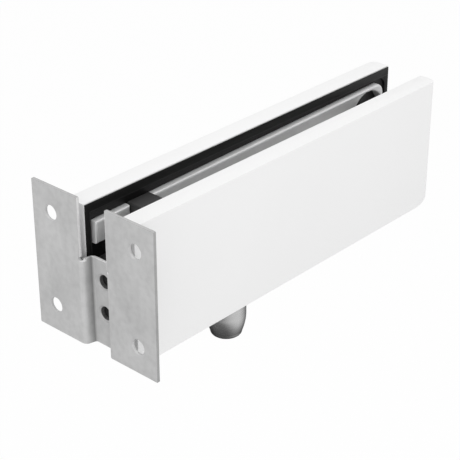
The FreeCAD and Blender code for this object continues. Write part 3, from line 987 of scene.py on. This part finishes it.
def makePin(look):
    nose = look["noseRadius"]
    tip = -look["length"]
    straightEnd = -look["neckLength"] - look["straight"]
    top = look["shoulder"] + look["spigotLength"]
    spigot = look["spigotRadius"]
    chamfer = look["spigotChamfer"]
    neckEnd = -look["neckLength"]
    ease = look["neckChamfer"]
    outline = [
        (0, top), (spigot - chamfer, top), (spigot, top - chamfer), (spigot, look["shoulder"]),
        (look["neck"], look["shoulder"]), (look["neck"], neckEnd),
        (look["radius"] - ease, neckEnd), (look["radius"], neckEnd - ease),
    ]
    # the barrel draws in faster towards its end
    fall = straightEnd - (tip + nose)
    draw = look["radius"] - look["endRadius"]
    bulge = math.log(look["barrelShare"]) / math.log(0.5)
    for step in range(look["barrelSteps"] + 1):
        share = step / look["barrelSteps"]
        outline.append((look["radius"] - draw * share ** bulge, straightEnd - fall * share))
    for step in range(1, look["noseSteps"] + 1):
        turn = math.radians(90 * step / look["noseSteps"])
        outline.append((
            look["endRadius"] - nose + nose * math.cos(turn), tip + nose - nose * math.sin(turn)
        ))
    outline.append((0, tip))
    pin = spinProfile("pivotPin", outline, at(look["place"], 0, 0), up, look["steps"])
    dress(pin, "pivot_pin", smooth=40)


makePin(pivotPin)
print("stage: pivot pin")


# screws, nuts and washers

headEdgeShare = 0.3            # a head's edge is turned in two steps, this far in at the middle


def hexRod(name, width, start, end):
    return addRod(name, width / math.sqrt(3), start, end, sides=6, turn=30)


def repeatPiece(first, node, places, stem):
    x, z = places[0]
    for number, (u, w) in enumerate(places[1:], start=2):
        dress(copyPiece(first, stem + str(number), at(u, 0, w) - at(x, 0, z)), node)
    dress(first, node)


clampScrew = {
    "places": ((24.55, 36.0), (100.0, 20.0), (148.3, 36.3)),
    "radius": 3.0, "headRadius": 5.0, "headHeight": 2.9, "headEdge": 0.4,
    "socketWidth": 4.6, "socketDepth": 1.6, "pitch": 1.0, "threadDepth": 0.45,
    "threadLength": 12.0, "runOut": 0.6, "tipChamfer": 0.8,
}


def makeClampScrew(look):
    low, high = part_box("clamp_screws")
    x, z = look["places"][0]
    front = low.y / mm
    seat = front + look["headHeight"]
    tip = high.y / mm
    edge = look["headEdge"]
    head = look["headRadius"]
    step = edge * headEdgeShare
    radius = look["radius"]
    chamfer = look["tipChamfer"]
    threadStart = tip - look["threadLength"]
    outline = [
        (0, front), (head - edge, front), (head - step, front + step), (head, front + edge),
        (head, seat), (radius, seat), (radius, threadStart - look["runOut"]),
    ]
    outline += threadOutline(radius, threadStart, tip - chamfer, look["pitch"], look["threadDepth"])
    outline += [(radius - chamfer, tip), (0, tip)]
    screw = spinProfile("clampScrew1", outline, at(x, 0, z), across, steps=48)
    start, end = at(x, front - 1, z), at(x, front + look["socketDepth"], z)
    cut(screw, [hexRod("socket", look["socketWidth"], start, end)])
    return screw


washer = {"radius": 5.8, "hole": 3.3, "edge": 0.1, "sides": 64}


def makeWasher(look, places):
    low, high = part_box("clamp_washers")
    x, z = places[0]
    front = low.y / mm
    back = high.y / mm
    start, end = at(x, front, z), at(x, back, z)
    disc = addRod("clampWasher1", look["radius"], start, end, look["sides"])
    cut(disc, [addRod("hole", look["hole"], at(x, front - 1, z), at(x, back + 1, z))])
    easeEdges(disc, look["edge"])
    return disc


nut = {
    "width": 10.0, "hole": 3.08, "mouth": 0.5, "pitch": 1.0, "threadDepth": 0.3, "lead": 0.1,
    "corner": 0.55, "cornerDrop": 0.33, "spare": 0.02,
}


def makeNut(look, places):
    low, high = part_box("clamp_nuts")
    x, z = places[0]
    front = low.y / mm
    back = high.y / mm
    body = hexRod("clampNut1", look["width"], at(x, front, z), at(x, back, z))
    # the six corners are turned off at both faces
    reach = look["width"] / math.sqrt(3)
    inner = reach - look["corner"]
    outer = reach + look["spare"]
    drop = look["cornerDrop"]
    outline = [
        (0, front), (inner, front), (outer, front + drop), (outer, back - drop), (inner, back),
        (0, back),
    ]
    cut(body, [spinProfile("turnedCorners", outline, at(x, 0, z), across)], "INTERSECT")
    hole = look["hole"]
    mouth = look["mouth"]
    wide = hole + mouth
    inset = mouth + look["lead"]
    outline = [(0, front - 1), (wide, front - 1), (wide, front), (hole, front + mouth)]
    outline += threadOutline(hole, front + inset, back - inset, look["pitch"], -look["threadDepth"])
    outline += [(hole, back - mouth), (wide, back), (wide, back + 1), (0, back + 1)]
    cut(body, [spinProfile("bore", outline, at(x, 0, z), across, steps=48)])
    return body


clampPlaces = clampScrew["places"]
repeatPiece(makeClampScrew(clampScrew), "clamp_screws", clampPlaces, "clampScrew")
repeatPiece(makeWasher(washer, clampPlaces), "clamp_washers", clampPlaces, "clampWasher")
repeatPiece(makeNut(nut, clampPlaces), "clamp_nuts", clampPlaces, "clampNut")
print("stage: clamp screws, washers and nuts")


anchorScrew = {
    "heights": (14.0, 26.0), "threadRadius": 2.45, "pitch": 0.8, "threadDepth": 0.35,
    "tipChamfer": 0.4, "stepAt": 3.3, "lead": 0.2, "shank": 3.0, "shankEnd": 9.0,
    "head": 5.0, "headEdge": 0.5, "socketWidth": 5.0, "socketDepth": 3.0,
}


def makeAnchorScrews(look):
    low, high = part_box("anchor_screws")
    tip = (low.x - wallEnd) / mm
    end = (high.x - wallEnd) / mm
    lead = look["lead"]
    radius = look["threadRadius"]
    stepAt = look["stepAt"]
    head = look["head"]
    edge = look["headEdge"]
    step = edge * headEdgeShare
    z = look["heights"][0]
    outline = [(0, tip), (radius - look["tipChamfer"], tip)]
    outline += threadOutline(radius, tip + lead, stepAt - lead, look["pitch"], look["threadDepth"])
    outline += [
        (radius - look["threadDepth"], stepAt), (look["shank"], stepAt + lead),
        (look["shank"], look["shankEnd"]), (head, look["shankEnd"]), (head, end - edge),
        (head - step, end - step), (head - edge, end), (0, end),
    ]
    screw = spinProfile("anchorScrew1", outline, at(0, 0, z), lengthways, steps=48)
    inside, outside = at(end - look["socketDepth"], 0, z), at(end + 1, 0, z)
    cut(screw, [hexRod("socket", look["socketWidth"], inside, outside)])
    rise = (0, 0, (look["heights"][1] - z) * mm)
    dress(copyPiece(screw, "anchorScrew2", rise), "anchor_screws")
    dress(screw, "anchor_screws")


makeAnchorScrews(anchorScrew)


blockScrew = {
    "places": ((5.75, 8.0), (5.75, 20.0), (24.55, 28.0), (47.5, 18.0), (71.5, 18.0)),
    "radius": 2.0, "pitch": 0.7, "threadDepth": 0.3,
}
plateScrew = {
    "places": ((34.5, 36.0), (91.0, 40.0), (91.0, 12.0), (131.0, 12.0)),
    "radius": 1.5, "pitch": 0.5, "threadDepth": 0.2,
}
countersunk = {
    "headRatio": 1.8, "socketRatio": 1.2, "socketShare": 0.6, "tipChamfer": 0.4, "lead": 0.2,
    "underHead": 0.02,
}


def makeCountersunk(name, node, look, shape):
    low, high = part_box(node)
    x, z = look["places"][0]
    tip = low.y / mm
    top = high.y / mm
    radius = look["radius"]
    head = radius * shape["headRatio"]
    depth = head - radius
    outline = [(0, tip), (radius - shape["tipChamfer"], tip)]
    outline += threadOutline(
        radius, tip + shape["lead"], top - depth, look["pitch"], look["threadDepth"]
    )
    outline += [(radius, top - depth + shape["underHead"]), (head, top), (0, top)]
    screw = spinProfile(name, outline, at(x, 0, z), across, steps=40)
    socketFloor = top - depth * shape["socketShare"]
    start, end = at(x, socketFloor, z), at(x, top + 1, z)
    cut(screw, [hexRod("socket", radius * shape["socketRatio"], start, end)])
    return screw


firstBlockScrew = makeCountersunk("blockScrew1", "block_screws", blockScrew, countersunk)
repeatPiece(firstBlockScrew, "block_screws", blockScrew["places"], "blockScrew")
rearScrew = makeCountersunk("rearPlateScrew1", "rear_plate_screws", plateScrew, countersunk)
frontScrew = mirrorPiece(rearScrew, "frontPlateScrew1")
repeatPiece(rearScrew, "rear_plate_screws", plateScrew["places"], "rearPlateScrew")
repeatPiece(frontScrew, "front_plate_screws", plateScrew["places"], "frontPlateScrew")


setScrew = {
    "height": 12.0, "radius": 2.5, "pitch": 0.8, "threadDepth": 0.35, "socketWidth": 2.5,
    "socketDepth": 2.5, "pointChamfer": 0.9, "pointLength": 0.6, "lead": 0.1,
    "endChamfer": 0.5, "endLength": 0.3,
}


def makeSetScrew(look):
    low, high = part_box("pin_set_screw")
    start = (low.x - wallEnd) / mm
    end = (high.x - wallEnd) / mm
    z = look["height"]
    radius = look["radius"]
    depth = look["threadDepth"]
    pointEnd = start + look["pointLength"]
    outline = [(0, start), (radius - look["pointChamfer"], start), (radius - depth, pointEnd)]
    outline += threadOutline(
        radius, pointEnd + look["lead"], end - look["endLength"], look["pitch"], depth
    )
    outline += [(radius - look["endChamfer"], end), (0, end)]
    screw = spinProfile("pinSetScrew", outline, at(0, 0, z), lengthways, steps=40)
    inside, outside = at(end - look["socketDepth"], 0, z), at(end + 1, 0, z)
    cut(screw, [hexRod("socket", look["socketWidth"], inside, outside)])
    dress(screw, "pin_set_screw")


makeSetScrew(setScrew)
print("stage: screws")


# spring clips, curled from strip

clips = {
    "places": (22.0, 81.5, 135.0), "span": 9.0, "rise": 1.9, "thickness": 0.4, "width": 3.0,
    "steps": 16, "edge": 0.05,
}


def makeClip(look):
    low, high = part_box("rear_cover_clips")
    half = look["span"] / 2
    radius = (half ** 2 + look["rise"] ** 2) / (2 * look["rise"])
    sweep = 2 * math.asin(half / radius)
    centre = at(look["places"][0], high.y / mm - look["width"] / 2, 0)
    centre.z = low.z + radius * mm
    # the end face of the strip, turned to one end of the curl and spun to the other
    clearSelection()
    bpy.ops.mesh.primitive_plane_add(
        size=1, location=centre - Vector((0, 0, (radius - look["thickness"] / 2) * mm)),
        rotation=(0, math.radians(90), 0),
    )
    clip = bpy.context.active_object
    clip.name = "rearCoverClip1"
    clip.scale = (look["thickness"] * mm, look["width"] * mm, 1)
    settle(clip)
    openMesh(clip, "FACE")
    bpy.ops.mesh.select_all(action="SELECT")
    bpy.ops.transform.rotate(value=-sweep / 2, orient_axis="Y", center_override=centre)
    bpy.ops.mesh.select_all(action="SELECT")
    bpy.ops.mesh.spin(steps=look["steps"], angle=sweep, center=centre, axis=(0, 1, 0))
    turnOutwards(clip)
    easeEdges(clip, look["edge"], segments=1)
    return clip


def placeClips(look):
    low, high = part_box("rear_cover_clips")
    stem = "rearCoverClip"
    made = [makeClip(look)]
    for number, x in enumerate(look["places"][1:], start=2):
        shift = ((x - look["places"][0]) * mm, 0, 0)
        made.append(copyPiece(made[0], stem + str(number), shift))
    # the upper clips curl the other way, mirrored about half the height
    shift = (0, 0, low.z + high.z)
    for number, lower in enumerate(list(made), start=len(made) + 1):
        upper = copyPiece(lower, stem + str(number), shift, scale=(1, 1, -1))
        turnOutwards(upper)
        made.append(upper)
    for number, clip in enumerate(made, start=1):
        twin = mirrorPiece(clip, "frontCoverClip" + str(number))
        dress(clip, "rear_cover_clips")
        dress(twin, "front_cover_clips")


placeClips(clips)
print("stage: clips")
